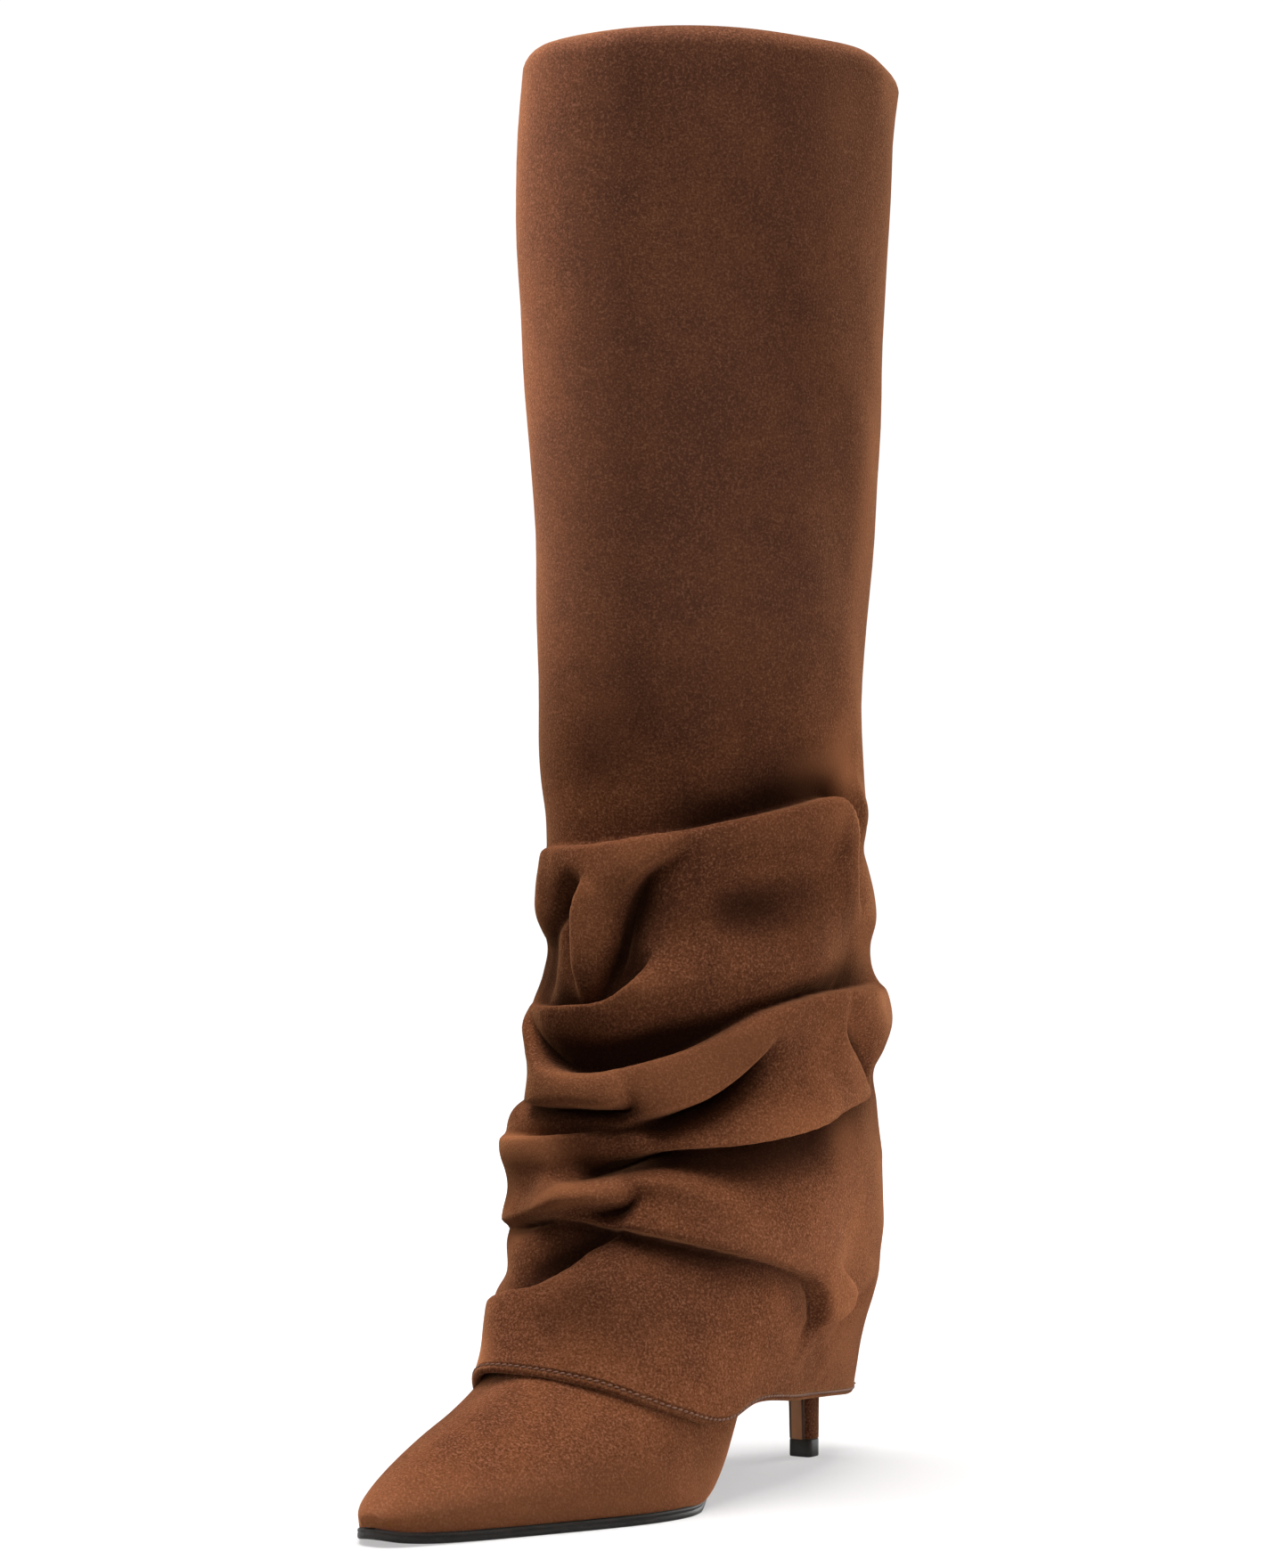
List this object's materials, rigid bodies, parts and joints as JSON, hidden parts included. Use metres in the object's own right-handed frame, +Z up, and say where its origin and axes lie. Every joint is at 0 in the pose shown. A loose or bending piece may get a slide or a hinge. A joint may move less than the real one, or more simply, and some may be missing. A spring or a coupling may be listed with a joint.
{
  "type": "dress boot",
  "caption": "Left knee-high dress boot in brown suede: pointed toe, stiletto heel and a fold-over shaft that slouches to a hem over the ankle; hollow, open at the top.",
  "frame": {"origin": "middle of the boot's footprint box, on the floor it stands on", "axes": "+Z up, the toe points along -Y, the outer (lateral) side of the foot faces +X"},
  "size_m": [0.11, 0.262, 0.45],
  "materials": {
    "suede": "brown suede with a short nap",
    "heel_cover": "brown suede over a hard core",
    "lining": "brown leather, flesh side out",
    "sock": "smooth tan leather",
    "breast": "smooth tan leather",
    "sole": "black, waxed edge",
    "lift": "black, satin"
  },
  "bodies": {
    "root": {"outsole": "sole", "insole": "sock", "heel": "heel_cover", "heel_breast": "breast", "top_lift": "lift", "upper": "suede", "shaft": "lining", "fold_over": "suede"}
  },
  "joints": []
}
